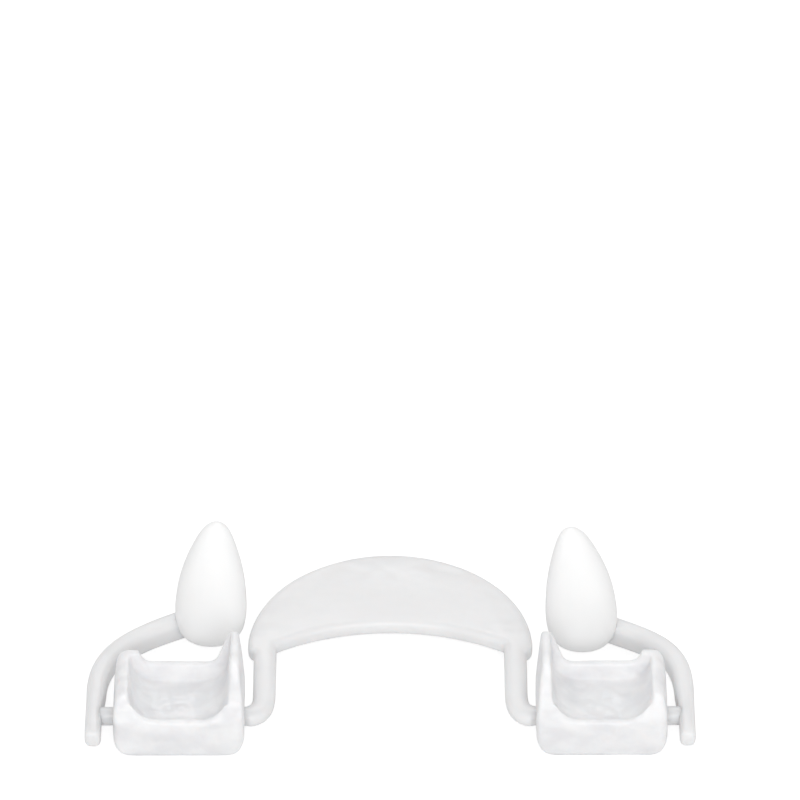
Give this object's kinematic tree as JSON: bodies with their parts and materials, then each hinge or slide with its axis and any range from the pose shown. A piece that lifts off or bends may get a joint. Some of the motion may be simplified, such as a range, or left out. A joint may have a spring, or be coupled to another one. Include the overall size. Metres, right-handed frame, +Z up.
{
  "type": "retractable fang denture",
  "caption": "Novelty denture: a flat lever with two fangs and a crescent tongue band turns in two open tooth trays.",
  "frame": {"origin": "centre of the bounding box at its underside, on the surface where the tray undersides and the fang roots rest", "axes": "+X to the right along the hinge shafts, +Y from the tray ends to the front of the band, +Z up along the fangs"},
  "size_m": [0.0598, 0.028, 0.0152],
  "materials": {
    "frame_plastic": "slightly translucent white plastic with a soft satin sheen",
    "fang_plastic": "opaque white glossy plastic"
  },
  "bodies": {
    "lever": {"palatal_band": "frame_plastic", "fang_arm_left": "frame_plastic", "fang_arm_right": "frame_plastic", "fang_left": "fang_plastic", "fang_right": "fang_plastic"},
    "tray_left": {"tooth_tray_left": "frame_plastic"},
    "tray_right": {"tooth_tray_right": "frame_plastic"}
  },
  "joints": [
    {"name": "tray_left_hinge", "type": "hinge", "parent": "lever", "child": "tray_left", "pos_m": [-0.02065, -0.01, 0.0019], "axis": [1, 0, 0], "continuous": true},
    {"name": "tray_right_hinge", "type": "hinge", "parent": "lever", "child": "tray_right", "pos_m": [0.02065, -0.01, 0.0019], "axis": [1, 0, 0], "continuous": true}
  ]
}
